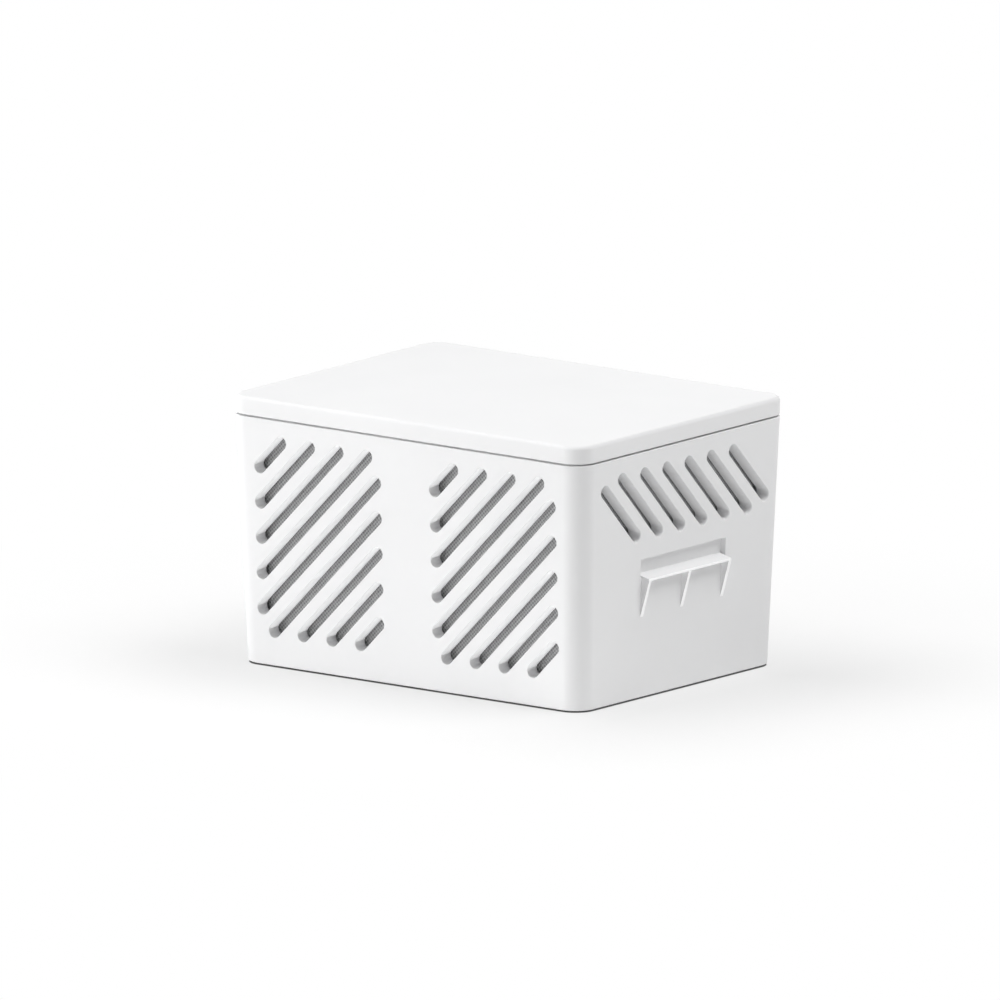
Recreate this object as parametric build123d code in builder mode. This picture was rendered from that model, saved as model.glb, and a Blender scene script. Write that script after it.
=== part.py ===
from build123d import *
from math import radians, sqrt, tan
import os

os.makedirs("parts", exist_ok=True)

# Outside of the closed module, in millimetres
width = 70.35  # left to right at the rim
depth = 53.3  # front to back at the rim
rim_height = 39.9  # top of the housing, where the lid sits
lid_height = 2.85  # from the rim to the top of the lid
corner_radius = 3.6  # upright corners of housing and lid
wall_draft = 2.05  # degrees that each wall leans in towards the base
base_edge_radius = 0.3
lid_edge_radius = 0.65

# Moulded walls
wall = 2.5
floor_thickness = 2.5
inner_corner_radius = 1.1
lid_wall = 2.0  # top of the lid
shadow_gap_height = 0.3  # dark line between housing and lid
shadow_gap_depth = 1.0

# Diagonal air slots
slot_width = 2.1
slot_pitch = 4.02  # square across the slots
shortest_slot = 4.5  # between end centres; shorter corner slots are left out
vent_top_margin = 2.8  # rim to the top of every slotted window, along the wall
long_window_width = 25.05
long_window_height = 32.6
long_window_spacing = 34.65  # between the two window centres of a long wall
short_window_width = 43.3
short_window_height = 11.9
short_window_offset = 0.35  # to the right of the wall's middle, seen from outside

# Catch ledge on each short wall
ledge_height = 19.3  # base to the top of the ledge's free edge
ledge_width = 21.2
ledge_offset = 0.35  # to the right of the wall's middle, seen from outside
ledge_reach = 1.45  # out from the wall
ledge_tip = 0.35  # thickness at the free edge
ledge_root = 0.9  # free edge's top to the underside at the wall
ledge_rise = 0.6  # the top slopes up this far to the back of the pocket
recess_height = 3.0  # shallow pocket above the ledge
recess_depth = 1.0
recess_width = 21.75
rib_count = 3
rib_thickness = 0.7
rib_drop = 6.25  # top of the ledge to the foot of a rib

# Snap joint between lid and housing
skirt_height = 2.4  # below the rim
skirt_wall = 1.4
skirt_clearance = 0.15
bead_length = 12.0
bead_height = 1.0
bead_rise = 0.45  # out from the skirt
bead_flank = 45  # degrees
bead_clearance = 0.1

# Grey screen and deodorizing pack
screen_gap = 0.6  # air gap between the wall and the screen
screen_thickness = 0.8
screen_corner_radius = 1.6
screen_clearance = 0.3  # below the lid's skirt
pack_clearance = 0.15  # inside the screen
pack_headroom = 1.5  # below the top of the screen
pack_edge_radius = 2.0

draft_slope = tan(radians(wall_draft))


def wall_inset(height):
    """How far the outside of a drafted wall stands inside the rim at this height."""
    return (rim_height - height) * draft_slope


# The rim outline's four sides seen square on from outside, with the base at zero
front_side = Plane(origin=(0, -depth / 2, 0), x_dir=(1, 0, 0), z_dir=(0, -1, 0))
back_side = Plane(origin=(0, depth / 2, 0), x_dir=(-1, 0, 0), z_dir=(0, 1, 0))
right_side = Plane(origin=(width / 2, 0, 0), x_dir=(0, 1, 0), z_dir=(1, 0, 0))
left_side = Plane(origin=(-width / 2, 0, 0), x_dir=(0, -1, 0), z_dir=(-1, 0, 0))
long_sides = [front_side, back_side]
short_sides = [right_side, left_side]

# The outside of each drafted wall seen square on, with zero at the middle of the rim
long_walls = [
    Plane(origin=(0, -depth / 2, rim_height), x_dir=(1, 0, 0), z_dir=(0, -1, -draft_slope)),
    Plane(origin=(0, depth / 2, rim_height), x_dir=(-1, 0, 0), z_dir=(0, 1, -draft_slope)),
]
short_walls = [
    Plane(origin=(width / 2, 0, rim_height), x_dir=(0, 1, 0), z_dir=(1, 0, -draft_slope)),
    Plane(origin=(-width / 2, 0, rim_height), x_dir=(0, -1, 0), z_dir=(-1, 0, -draft_slope)),
]

rim = Plane.XY.offset(rim_height)


def diagonal_slots(window_width, window_height, shift, rise):
    """Slots on evenly spaced diagonals, each as long as its window allows.

    The diagonals climb to the right where rise is 1 and to the left where it is -1.
    shift is the height at which the middle diagonal crosses the window's centre line.
    """
    half_run = (window_width - slot_width) / 2
    half_rise = (window_height - slot_width) / 2
    step = slot_pitch * sqrt(2)
    furthest = int((half_run + half_rise + abs(shift)) / step)
    for count in range(-furthest, furthest + 1):
        crossing = count * step + shift
        start = max(-half_run, -half_rise - crossing)
        end = min(half_run, half_rise - crossing)
        length = (end - start) * sqrt(2)
        if length > shortest_slot:
            middle = (start + end) / 2
            with Locations((rise * middle, crossing + middle)):
                SlotCenterToCenter(length, slot_width, rotation=45 * rise)


# Where the lid's skirt and its snap beads sit inside the rim
skirt_foot = rim_height - skirt_height
skirt_inset = wall_inset(skirt_foot) + wall + skirt_clearance
bead_middle = rim_height - skirt_height / 2
bead_places = [long_window_spacing / 2, -long_window_spacing / 2]
long_skirt_sides = [side.offset(-skirt_inset) for side in long_sides]
short_skirt_sides = [side.offset(-skirt_inset) for side in short_sides]

# Housing: an open-topped box with drafted walls, moulded in one piece
with BuildPart() as housing:
    with BuildSketch(rim):
        Rectangle(width, depth)
    extrude(amount=-rim_height)
    draft(housing.faces().filter_by(Axis.Z, reverse=True), rim, -wall_draft)

    # Hollow with the same draft as the outside
    with BuildSketch(rim):
        Rectangle(width - 2 * wall, depth - 2 * wall)
    extrude(amount=floor_thickness - rim_height, mode=Mode.SUBTRACT)
    draft(housing.faces(Select.LAST).filter_by(Axis.Z, reverse=True), rim, wall_draft)
    upright_edges = housing.edges().filter_by_position(
        Axis.Z, floor_thickness, rim_height, inclusive=(False, False)
    )
    outer_corners, hollow_corners = upright_edges.group_by(Axis.Z)
    fillet(outer_corners, corner_radius)
    fillet(hollow_corners, inner_corner_radius)
    fillet(housing.faces().sort_by(Axis.Z)[0].edges(), base_edge_radius)

    # Step round the outside of the rim that shows as the dark parting line
    with BuildSketch(rim):
        Rectangle(width + wall, depth + wall)
        RectangleRounded(
            width - 2 * shadow_gap_depth,
            depth - 2 * shadow_gap_depth,
            corner_radius - shadow_gap_depth,
            mode=Mode.SUBTRACT,
        )
    extrude(amount=-shadow_gap_height, mode=Mode.SUBTRACT)

    # Two slotted windows in each long wall, cut on one family of diagonals
    with BuildSketch(*long_walls):
        for window_place in (-long_window_spacing / 2, long_window_spacing / 2):
            with Locations((window_place, -vent_top_margin - long_window_height / 2)):
                diagonal_slots(long_window_width, long_window_height, window_place, 1)
    extrude(amount=-(wall + screen_gap), mode=Mode.SUBTRACT)

    # One slotted window high in each short wall
    with BuildSketch(*short_walls):
        with Locations((short_window_offset, -vent_top_margin - short_window_height / 2)):
            diagonal_slots(short_window_width, short_window_height, 0, -1)
    extrude(amount=-(wall + screen_gap), mode=Mode.SUBTRACT)

    # Shallow pocket above each catch ledge
    recess_middle = ledge_height + recess_height / 2
    with BuildSketch(*short_walls):
        with Locations((ledge_offset, recess_middle - rim_height)):
            Rectangle(recess_width, recess_height)
    extrude(amount=-recess_depth, mode=Mode.SUBTRACT)

    # Catch ledge and the ribs under it, in profile, with zero on the wall level with its free edge
    ledge_wall = width / 2 - wall_inset(ledge_height)
    ledge_profiles = [
        Plane(origin=(ledge_wall, ledge_offset, ledge_height), x_dir=(1, 0, 0), z_dir=(0, -1, 0)),
        Plane(origin=(-ledge_wall, -ledge_offset, ledge_height), x_dir=(-1, 0, 0), z_dir=(0, 1, 0)),
    ]
    inside_wall = -(recess_depth + wall) / 2
    with BuildSketch(*ledge_profiles):
        with BuildLine():
            Polyline(
                (inside_wall, ledge_rise),
                (-recess_depth, ledge_rise),
                (ledge_reach, 0),
                (ledge_reach, -ledge_tip),
                (0, -ledge_root),
                (inside_wall, -ledge_root),
                close=True,
            )
        make_face()
    extrude(amount=ledge_width / 2, both=True)
    rib_spacing = (ledge_width - rib_thickness) / (rib_count - 1)
    rib_profiles = [
        profile.offset(rib_spacing * (place - (rib_count - 1) / 2))
        for profile in ledge_profiles
        for place in range(rib_count)
    ]
    with BuildSketch(*rib_profiles):
        with BuildLine():
            Polyline(
                (inside_wall, 0),
                (ledge_reach, 0),
                (ledge_reach, -ledge_tip),
                (-rib_drop * draft_slope, -rib_drop),
                (inside_wall, -rib_drop),
                close=True,
            )
        make_face()
    extrude(amount=rib_thickness / 2, both=True)

    # Pockets inside the rim that the lid's beads snap into
    pocket_size = (bead_length + 2 * bead_clearance, bead_height + 2 * bead_clearance)
    with BuildSketch(*long_skirt_sides):
        for bead_place in bead_places:
            with Locations((bead_place, bead_middle)):
                Rectangle(*pocket_size)
    with BuildSketch(*short_skirt_sides):
        with Locations((0, bead_middle)):
            Rectangle(*pocket_size)
    extrude(amount=bead_rise + bead_clearance, mode=Mode.SUBTRACT)
housing.part.label = "housing"
export_step(housing.part, "parts/housing.step")

# Lid: a flush cap, hollowed from below, with a locating skirt and snap beads
with BuildPart() as lid:
    with BuildSketch(rim):
        RectangleRounded(width, depth, corner_radius)
    extrude(amount=lid_height)
    fillet(lid.faces().sort_by(Axis.Z)[-1].edges(), lid_edge_radius)
    with BuildSketch(rim):
        RectangleRounded(width - 2 * skirt_inset, depth - 2 * skirt_inset, inner_corner_radius)
    extrude(amount=-skirt_height)
    hollow_inset = skirt_inset + skirt_wall
    with BuildSketch(Plane.XY.offset(skirt_foot)):
        Rectangle(width - 2 * hollow_inset, depth - 2 * hollow_inset)
    extrude(amount=skirt_height + lid_height - lid_wall, mode=Mode.SUBTRACT)
    with BuildSketch(*long_skirt_sides):
        for bead_place in bead_places:
            with Locations((bead_place, bead_middle)):
                Rectangle(bead_length, bead_height)
    with BuildSketch(*short_skirt_sides):
        with Locations((0, bead_middle)):
            Rectangle(bead_length, bead_height)
    extrude(amount=bead_rise, taper=bead_flank)
lid.part.label = "lid"
export_step(lid.part, "parts/lid.step")

# Screen: a sleeve of grey mesh that stands on the floor just inside the four walls
screen_top = skirt_foot - screen_clearance
screen_inset = wall_inset(screen_top) + wall + screen_gap
screen_rim = Plane.XY.offset(screen_top)
with BuildPart() as screen:
    with BuildSketch(screen_rim):
        Rectangle(width - 2 * screen_inset, depth - 2 * screen_inset)
    extrude(amount=floor_thickness - screen_top)
    draft(screen.faces().filter_by(Axis.Z, reverse=True), screen_rim, -wall_draft)
    screen_corners = screen.edges().filter_by_position(
        Axis.Z, floor_thickness, screen_top, inclusive=(False, False)
    )
    fillet(screen_corners, screen_corner_radius)
    open_ends = screen.faces().sort_by(Axis.Z)
    offset(amount=-screen_thickness, openings=[open_ends[0], open_ends[-1]])
screen.part.label = "screen"
export_step(screen.part, "parts/screen.step")

# Pack: the deodorizing fill in its sealed pouch, standing inside the screen
pack_top = screen_top - pack_headroom
pack_inset = wall_inset(pack_top) + wall + screen_gap + screen_thickness + pack_clearance
pack_rim = Plane.XY.offset(pack_top)
with BuildPart() as carbon_pack:
    with BuildSketch(pack_rim):
        Rectangle(width - 2 * pack_inset, depth - 2 * pack_inset)
    extrude(amount=floor_thickness - pack_top)
    draft(carbon_pack.faces().filter_by(Axis.Z, reverse=True), pack_rim, -wall_draft)
    pack_edges = carbon_pack.edges().filter_by_position(
        Axis.Z, floor_thickness, pack_top, inclusive=(False, True)
    )
    fillet(pack_edges, pack_edge_radius)
carbon_pack.part.label = "carbon_pack"
export_step(carbon_pack.part, "parts/carbon_pack.step")
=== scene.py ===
from math import cos, pi, radians, sin

import bpy
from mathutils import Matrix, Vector


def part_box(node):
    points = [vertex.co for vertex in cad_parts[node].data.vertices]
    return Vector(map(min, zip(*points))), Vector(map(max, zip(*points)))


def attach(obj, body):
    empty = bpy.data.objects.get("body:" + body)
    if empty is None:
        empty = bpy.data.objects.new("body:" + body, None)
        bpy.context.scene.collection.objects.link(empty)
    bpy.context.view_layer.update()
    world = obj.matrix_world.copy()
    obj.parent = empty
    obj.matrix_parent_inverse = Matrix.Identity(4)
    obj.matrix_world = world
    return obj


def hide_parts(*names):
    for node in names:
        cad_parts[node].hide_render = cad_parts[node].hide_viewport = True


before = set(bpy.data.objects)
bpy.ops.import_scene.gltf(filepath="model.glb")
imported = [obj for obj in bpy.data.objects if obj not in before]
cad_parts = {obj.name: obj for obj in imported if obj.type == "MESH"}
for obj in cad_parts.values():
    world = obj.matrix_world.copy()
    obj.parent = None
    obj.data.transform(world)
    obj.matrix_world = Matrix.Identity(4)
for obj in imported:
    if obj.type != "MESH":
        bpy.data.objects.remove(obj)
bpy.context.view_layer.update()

# Housing: the open-topped box, injection moulded in white plastic with a fine satin grain.
# Its walls lean in towards the base. The air slots and the two catch ledges are moulded in,
# and every edge keeps a small radius. The downward-facing slot walls and the catch's outward
# faces carry a painted glow, which brightens them as if lit.
housing_edge_radius = 0.0001
edge_steps = 2
edge_angle = radians(40)
smooth_angle = radians(50)
facet_angle = radians(0.5)
merge_distance = 0.000002
plastic_pale = (0.885, 0.886, 0.89, 1)
plastic_deep = (0.865, 0.866, 0.871, 1)
plastic_gloss = 0.25
smoothest_plastic = 0.5
roughest_plastic = 0.6
clouds_per_metre = 45
noise_low = 0.3
noise_high = 0.7
grain_size = 0.00022
grain_depth = 0.00002
grain_strength = 0.12
# Painted glow: emission strengths that brighten the downward-facing slot walls and the catch's
# outward faces.
housing_painted_glows = {
    "housing_plastic": 0,
    "long_slat_painted_glow": 0.32,
    "short_slat_painted_glow": 0.045,
    "rib_painted_glow": 0.25,
}
slotted_depth = 0.006
base_band = 0.003
least_slope = 0.3
catch_root = 0.0347
catch_low = 0.0115
catch_high = 0.0205
least_catch_front = 0.6


def moulding(node, name, edge_radius):
    """A piece with a node's own shape, its facets joined up and its sharp edges rounded."""
    piece = bpy.data.objects.new(name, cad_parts[node].data.copy())
    bpy.context.collection.objects.link(piece)
    bpy.ops.object.select_all(action="DESELECT")
    piece.select_set(True)
    bpy.context.view_layer.objects.active = piece
    bpy.ops.object.mode_set(mode="EDIT")
    bpy.ops.mesh.select_all(action="SELECT")
    bpy.ops.mesh.remove_doubles(threshold=merge_distance)
    bpy.ops.mesh.dissolve_limited(angle_limit=facet_angle)
    bpy.ops.object.mode_set(mode="OBJECT")
    edges = piece.modifiers.new("edges", "BEVEL")
    edges.width = edge_radius
    edges.segments = edge_steps
    edges.limit_method = "ANGLE"
    edges.angle_limit = edge_angle
    edges.use_clamp_overlap = False
    edges.loop_slide = False
    bpy.ops.object.modifier_apply(modifier=edges.name)
    bpy.ops.object.shade_smooth_by_angle(angle=smooth_angle)
    flats = piece.modifiers.new("flats", "WEIGHTED_NORMAL")
    flats.keep_sharp = True
    bpy.ops.object.modifier_apply(modifier=flats.name)
    piece.data.materials.clear()
    return piece


def satin_plastic(name, painted_glow=0):
    """White moulded plastic: faint clouding in the colour, and a fine grain from the tool.

    painted_glow is painted light: an emission in the plastic's own colour that brightens slat and
    rib faces.
    """
    material = bpy.data.materials.new(name)
    material.use_nodes = True
    nodes = material.node_tree.nodes
    links = material.node_tree.links
    shader = nodes["Principled BSDF"]
    shader.inputs["Specular IOR Level"].default_value = plastic_gloss
    # Painted light: the emission makes these faces glow in the plastic's pale colour.
    shader.inputs["Emission Color"].default_value = plastic_pale
    shader.inputs["Emission Strength"].default_value = painted_glow
    place = nodes.new("ShaderNodeTexCoord")
    clouds = nodes.new("ShaderNodeTexNoise")
    clouds.inputs["Scale"].default_value = clouds_per_metre
    clouds.inputs["Detail"].default_value = 3
    tint = nodes.new("ShaderNodeValToRGB")
    tint.color_ramp.elements[0].position = noise_low
    tint.color_ramp.elements[0].color = plastic_deep
    tint.color_ramp.elements[1].position = noise_high
    tint.color_ramp.elements[1].color = plastic_pale
    grain = nodes.new("ShaderNodeTexNoise")
    grain.inputs["Scale"].default_value = 1 / grain_size
    grain.inputs["Detail"].default_value = 2
    sheen = nodes.new("ShaderNodeMapRange")
    sheen.inputs["From Min"].default_value = noise_low
    sheen.inputs["From Max"].default_value = noise_high
    sheen.inputs["To Min"].default_value = smoothest_plastic
    sheen.inputs["To Max"].default_value = roughest_plastic
    relief = nodes.new("ShaderNodeBump")
    relief.inputs["Strength"].default_value = grain_strength
    relief.inputs["Distance"].default_value = grain_depth
    links.new(place.outputs["Object"], clouds.inputs["Vector"])
    links.new(place.outputs["Object"], grain.inputs["Vector"])
    links.new(clouds.outputs["Fac"], tint.inputs["Fac"])
    links.new(tint.outputs["Color"], shader.inputs["Base Color"])
    links.new(grain.outputs["Fac"], sheen.inputs["Value"])
    links.new(sheen.outputs["Result"], shader.inputs["Roughness"])
    links.new(grain.outputs["Fac"], relief.inputs["Height"])
    links.new(relief.outputs["Normal"], shader.inputs["Normal"])
    return material


housing = moulding("housing", "housing_moulding", housing_edge_radius)
for material_name, painted_glow in housing_painted_glows.items():
    housing.data.materials.append(satin_plastic(material_name, painted_glow))
housing_material_names = list(housing_painted_glows)
housing_low, housing_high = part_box("housing")
# Painted glow goes on the downward-facing slot walls of both wall pairs and on the catch's outward
# faces.
for face in housing.data.polygons:
    spot = face.center
    facing = face.normal
    leans_along = abs(facing.x) > least_slope and abs(facing.y) < least_slope
    leans_across = abs(facing.y) > least_slope and abs(facing.x) < least_slope
    slopes_down = facing.z < -least_slope and spot.z > base_band
    in_long_wall = min(spot.y - housing_low.y, housing_high.y - spot.y) < slotted_depth
    in_short_wall = min(spot.x - housing_low.x, housing_high.x - spot.x) < slotted_depth
    on_catch = abs(spot.x) > catch_root and catch_low < spot.z < catch_high
    if in_long_wall and slopes_down and leans_along:
        face.material_index = housing_material_names.index("long_slat_painted_glow")
    if in_short_wall and slopes_down and leans_across:
        face.material_index = housing_material_names.index("short_slat_painted_glow")
    if on_catch and abs(facing.x) > least_catch_front:
        face.material_index = housing_material_names.index("rib_painted_glow")
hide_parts("housing")
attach(housing, "root")

# Screen: a sleeve of fine grey woven mesh that stands just inside the four walls
# and shows through the slots. It is cut from sheet and held by the pack inside it.
screen_edge_radius = 0.0001
thread_pitch = 0.00034
thread_pale = (0.64, 0.64, 0.645, 1)
thread_deep = (0.27, 0.27, 0.275, 1)
thread_roughness = 0.8
thread_gloss = 0.25
thread_fuzz = 0.6
thread_gap = 0.25
thread_depth = 0.0001
thread_strength = 0.6


def woven_mesh(name, pitch, pale, deep):
    """Plain weave on upright walls: threads run level and straight up at the same pitch."""
    material = bpy.data.materials.new(name)
    material.use_nodes = True
    nodes = material.node_tree.nodes
    links = material.node_tree.links
    shader = nodes["Principled BSDF"]
    shader.inputs["Roughness"].default_value = thread_roughness
    shader.inputs["Specular IOR Level"].default_value = thread_gloss
    place = nodes.new("ShaderNodeTexCoord")
    parts = nodes.new("ShaderNodeSeparateXYZ")
    along = nodes.new("ShaderNodeMath")
    along.operation = "ADD"
    links.new(place.outputs["Object"], parts.inputs["Vector"])
    links.new(parts.outputs["X"], along.inputs[0])
    links.new(parts.outputs["Y"], along.inputs[1])
    waves = []
    for line in (along.outputs["Value"], parts.outputs["Z"]):
        turns = nodes.new("ShaderNodeMath")
        turns.operation = "MULTIPLY"
        turns.inputs[1].default_value = pi / pitch
        wave = nodes.new("ShaderNodeMath")
        wave.operation = "SINE"
        links.new(line, turns.inputs[0])
        links.new(turns.outputs["Value"], wave.inputs[0])
        waves.append(wave)
    weave = nodes.new("ShaderNodeMath")
    weave.operation = "MULTIPLY"
    links.new(waves[0].outputs["Value"], weave.inputs[0])
    links.new(waves[1].outputs["Value"], weave.inputs[1])
    height = nodes.new("ShaderNodeMapRange")
    height.inputs["From Min"].default_value = -1
    height.inputs["From Max"].default_value = 1
    links.new(weave.outputs["Value"], height.inputs["Value"])
    fuzz = nodes.new("ShaderNodeTexNoise")
    fuzz.inputs["Scale"].default_value = 1 / pitch
    fuzz.inputs["Detail"].default_value = 3
    links.new(place.outputs["Object"], fuzz.inputs["Vector"])
    uneven = nodes.new("ShaderNodeMath")
    uneven.operation = "MULTIPLY_ADD"
    uneven.inputs[1].default_value = thread_fuzz
    links.new(fuzz.outputs["Fac"], uneven.inputs[0])
    links.new(height.outputs["Result"], uneven.inputs[2])
    tint = nodes.new("ShaderNodeValToRGB")
    tint.color_ramp.elements[0].position = thread_gap
    tint.color_ramp.elements[0].color = deep
    tint.color_ramp.elements[1].position = 1
    tint.color_ramp.elements[1].color = pale
    links.new(uneven.outputs["Value"], tint.inputs["Fac"])
    links.new(tint.outputs["Color"], shader.inputs["Base Color"])
    relief = nodes.new("ShaderNodeBump")
    relief.inputs["Strength"].default_value = thread_strength
    relief.inputs["Distance"].default_value = thread_depth
    links.new(height.outputs["Result"], relief.inputs["Height"])
    links.new(relief.outputs["Normal"], shader.inputs["Normal"])
    return material


screen = moulding("screen", "screen_sleeve", screen_edge_radius)
screen.data.materials.append(woven_mesh("grey_weave", thread_pitch, thread_pale, thread_deep))
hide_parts("screen")
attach(screen, "root")

# Pack: a sealed pouch of dark non-woven cloth, full of deodorizing granules.
# It fills the box and presses the screen against the walls.
pouch_edge_radius = 0.0004
pouch_pitch = 0.0008
pouch_pale = (0.12, 0.12, 0.125, 1)
pouch_deep = (0.05, 0.05, 0.055, 1)
pouch = moulding("carbon_pack", "granule_pouch", pouch_edge_radius)
pouch.data.materials.append(woven_mesh("pouch_cloth", pouch_pitch, pouch_pale, pouch_deep))
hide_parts("carbon_pack")
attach(pouch, "root")

# Lid: a flush cap of the same plastic, pressed home once the pack is in.
# Beads on its skirt snap into the rim, and a fine dark line is left all round.
lid_edge_radius = 0.0001
lid = moulding("lid", "lid_moulding", lid_edge_radius)
lid.data.materials.append(satin_plastic("lid_plastic"))
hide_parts("lid")
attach(lid, "root")

# Floor: a wide pale sheet under the module. Near the base the camera sees the lamp-lit floor
# mixed with a painted soft shadow that leans to the right and back, and a painted contact shadow
# darkens it where the base stands; further away it runs out to plain white.
floor_width = 4
floor_drop = 0.00025
floor_tone = 0.97
floor_roughness = 0.9
floor_gloss = 0.1
foot_length = 0.0675
foot_width = 0.0504
foot_corner = 0.0035
# Painted contact shadow: the floor's colour is made dark where the base stands on it.
painted_contact_shadow_tone = 0.12
painted_contact_shadow_blur = 0.0003
# Painted soft shadow: how far it is moved to the right and back, how far it reaches, and how dark
# it gets.
painted_shadow_lean = (0.01, -0.0026, 0)
painted_shadow_reach = 0.047
painted_shadow_tone = 0.63
painted_shadow_share = 0.7
white_start = 0.05
white_end = 0.12


def white_rays(nodes, links):
    """1 for the rays that should meet plain white: the camera's own, mirrored and passed ones."""
    path = nodes.new("ShaderNodeLightPath")
    seen = path.outputs["Is Camera Ray"]
    for kind in ("Is Glossy Ray", "Is Transmission Ray"):
        either = nodes.new("ShaderNodeMath")
        either.operation = "MAXIMUM"
        links.new(seen, either.inputs[0])
        links.new(path.outputs[kind], either.inputs[1])
        seen = either.outputs["Value"]
    return seen


bpy.ops.object.select_all(action="DESELECT")
bpy.ops.mesh.primitive_plane_add(size=floor_width, location=(0, 0, -floor_drop))
floor = bpy.context.object
floor.name = "floor"
bpy.ops.object.transform_apply(location=True, rotation=True, scale=True)
floor_paint = bpy.data.materials.new("floor_paint")
floor_paint.use_nodes = True
floor_nodes = floor_paint.node_tree.nodes
floor_links = floor_paint.node_tree.links
floor_shader = floor_nodes["Principled BSDF"]
floor_shader.inputs["Roughness"].default_value = floor_roughness
floor_shader.inputs["Specular IOR Level"].default_value = floor_gloss
floor_place = floor_nodes.new("ShaderNodeTexCoord")


def floor_vector(operation, start, by=(0, 0, 0)):
    """One step of vector arithmetic on the floor."""
    step = floor_nodes.new("ShaderNodeVectorMath")
    step.operation = operation
    step.inputs[1].default_value = by
    floor_links.new(start, step.inputs[0])
    return step.outputs["Value" if operation == "LENGTH" else "Vector"]


def floor_ramp(distance, near, far, low, high):
    """A smooth change from low to high between two distances."""
    ramp = floor_nodes.new("ShaderNodeMapRange")
    ramp.interpolation_type = "SMOOTHSTEP"
    ramp.inputs["From Min"].default_value = near
    ramp.inputs["From Max"].default_value = far
    ramp.inputs["To Min"].default_value = low
    ramp.inputs["To Max"].default_value = high
    floor_links.new(distance, ramp.inputs["Value"])
    return ramp.outputs["Result"]


def floor_product(first, second):
    """Two values on the floor multiplied."""
    product = floor_nodes.new("ShaderNodeMath")
    product.operation = "MULTIPLY"
    floor_links.new(first, product.inputs[0])
    floor_links.new(second, product.inputs[1])
    return product.outputs["Value"]


def foot_distance(lean):
    """How far a point is from the core of the base's rounded outline, which ends at foot_corner."""
    core = (foot_length / 2 - foot_corner, foot_width / 2 - foot_corner, 1)
    across = floor_vector("SUBTRACT", floor_place.outputs["Object"], lean)
    past_core = floor_vector("SUBTRACT", floor_vector("ABSOLUTE", across), core)
    return floor_vector("LENGTH", floor_vector("MAXIMUM", past_core))


base_gap = foot_distance((0, 0, 0))


def painted_contact_shadow(tone):
    """A painted contact shadow: a dark patch under the base, with the given tone outside it."""
    return floor_ramp(base_gap, foot_corner - painted_contact_shadow_blur, foot_corner, painted_contact_shadow_tone, tone)


# The floor's base colour carries the painted contact shadow.
floor_links.new(painted_contact_shadow(floor_tone), floor_shader.inputs["Base Color"])
painted_shadow = floor_ramp(foot_distance(painted_shadow_lean), -painted_shadow_reach, painted_shadow_reach, painted_shadow_tone, 1)
# Camera, glossy and passed rays see this painted shadow, which gives way to plain white further
# away.
floor_white_and_painted_shadow = floor_nodes.new("ShaderNodeEmission")
floor_links.new(floor_product(painted_shadow, painted_contact_shadow(1)), floor_white_and_painted_shadow.inputs["Color"])
from_middle = floor_vector("LENGTH", floor_place.outputs["Object"])
white_share = floor_ramp(from_middle, white_start, white_end, painted_shadow_share, 1)
white_part = floor_product(white_share, white_rays(floor_nodes, floor_links))
floor_mix = floor_nodes.new("ShaderNodeMixShader")
floor_links.new(white_part, floor_mix.inputs["Fac"])
floor_links.new(floor_shader.outputs["BSDF"], floor_mix.inputs[1])
floor_links.new(floor_white_and_painted_shadow.outputs["Emission"], floor_mix.inputs[2])
floor_links.new(floor_mix.outputs["Shader"], floor_nodes["Material Output"].inputs["Surface"])
floor.data.materials.append(floor_paint)

# Light: three softboxes, one high on the right and a little behind, one low on the left
# of the front and one high on the left. The top and the front are white, the right wall
# is a soft grey, and the corner between the two walls is darker than both.
white = (1, 1, 1, 1)
room_level = 0.01
lamp_distance = 0.8
world = bpy.data.worlds.new("studio")
bpy.context.scene.world = world
world.use_nodes = True
world_nodes = world.node_tree.nodes
world_links = world.node_tree.links
room = world_nodes["Background"]
room.inputs["Color"].default_value = white
room.inputs["Strength"].default_value = room_level
backdrop = world_nodes.new("ShaderNodeBackground")
backdrop.inputs["Color"].default_value = white
backdrop.inputs["Strength"].default_value = 1
world_mix = world_nodes.new("ShaderNodeMixShader")
world_links.new(white_rays(world_nodes, world_links), world_mix.inputs["Fac"])
world_links.new(room.outputs["Background"], world_mix.inputs[1])
world_links.new(backdrop.outputs["Background"], world_mix.inputs[2])
world_links.new(world_mix.outputs["Shader"], world_nodes["World Output"].inputs["Surface"])


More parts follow.
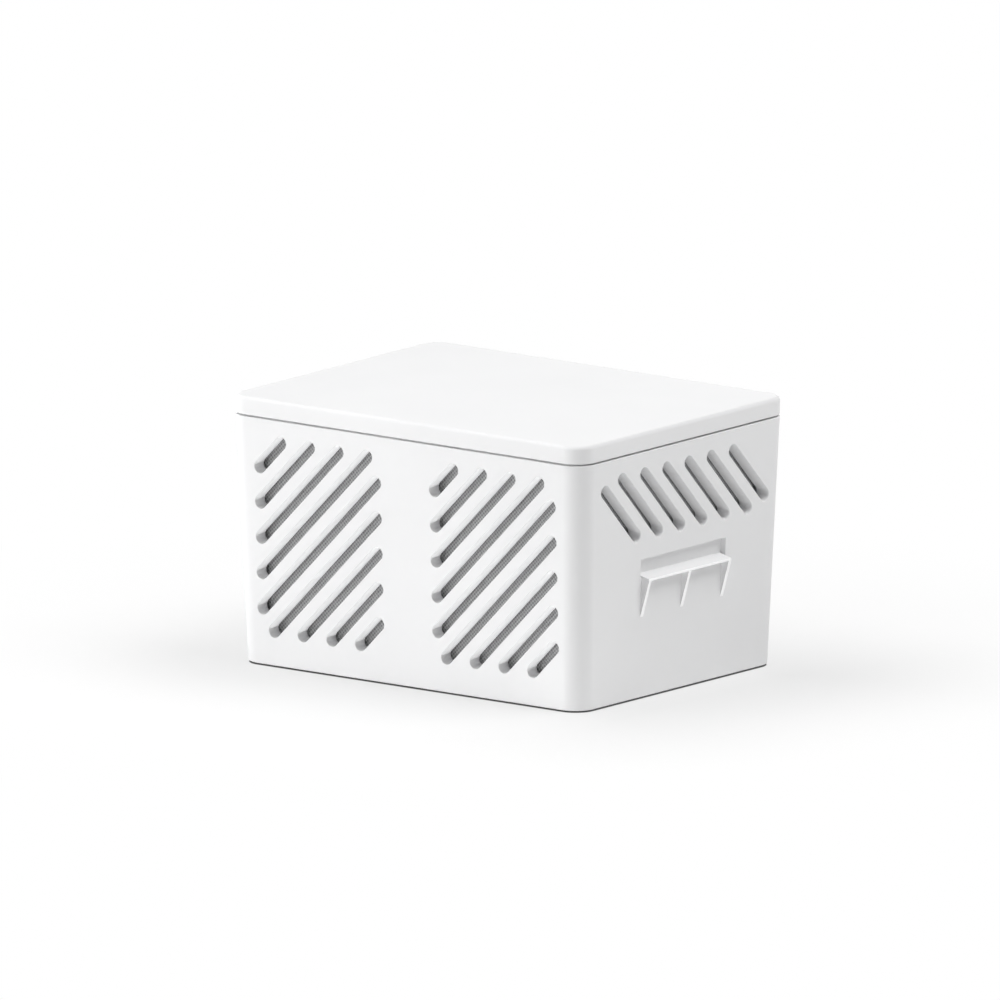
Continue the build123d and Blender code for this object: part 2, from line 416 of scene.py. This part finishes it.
def softbox(name, azimuth, elevation, size, level):
    """A square softbox that faces the module; level is what it adds to a white card facing it."""
    lamp = bpy.data.lights.new(name, "AREA")
    lamp.shape = "SQUARE"
    lamp.size = size
    lamp.energy = level * pi * pi * lamp_distance ** 2
    holder = bpy.data.objects.new(name, lamp)
    bpy.context.collection.objects.link(holder)
    turn = radians(azimuth)
    tilt = radians(elevation)
    holder.location = (
        lamp_distance * sin(turn) * cos(tilt),
        -lamp_distance * cos(turn) * cos(tilt),
        lamp_distance * sin(tilt),
    )
    holder.rotation_euler = (pi / 2 - tilt, 0, turn)
    holder.visible_camera = False


softbox("right_softbox", azimuth=110, elevation=60, size=0.55, level=0.78)
softbox("front_softbox", azimuth=-33, elevation=8, size=0.6, level=0.87)
softbox("left_softbox", azimuth=-70, elevation=52, size=0.6, level=0.41)

# Camera: a parallel view from the right of the front wall and a little above the lid,
# set so that the front right corner of the rim falls on its own pixel of the picture.
picture_pixels = 1000
pixels_per_metre = 6377
corner_pixel = (581.4, 466.65)
view_azimuth = radians(37.69)
view_elevation = radians(11.6)
view_distance = 0.6
nearest_view = 0.01
lid_low, lid_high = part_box("lid")
rim_corner = Vector((lid_high.x, lid_low.y, housing_high.z))
to_right = Vector((cos(view_azimuth), sin(view_azimuth), 0))
to_camera = Vector((
    sin(view_azimuth) * cos(view_elevation),
    -cos(view_azimuth) * cos(view_elevation),
    sin(view_elevation),
))
to_top = to_camera.cross(to_right)
picture_middle = (
    rim_corner
    + to_right * ((picture_pixels / 2 - corner_pixel[0]) / pixels_per_metre)
    + to_top * ((corner_pixel[1] - picture_pixels / 2) / pixels_per_metre)
)
lens = bpy.data.cameras.new("camera")
lens.type = "ORTHO"
lens.ortho_scale = picture_pixels / pixels_per_metre
lens.clip_start = nearest_view
camera = bpy.data.objects.new("camera", lens)
bpy.context.collection.objects.link(camera)
camera.location = picture_middle + to_camera * view_distance
camera.rotation_euler = (pi / 2 - view_elevation, 0, view_azimuth)
bpy.context.scene.camera = camera
bpy.context.scene.view_settings.view_transform = "Standard"
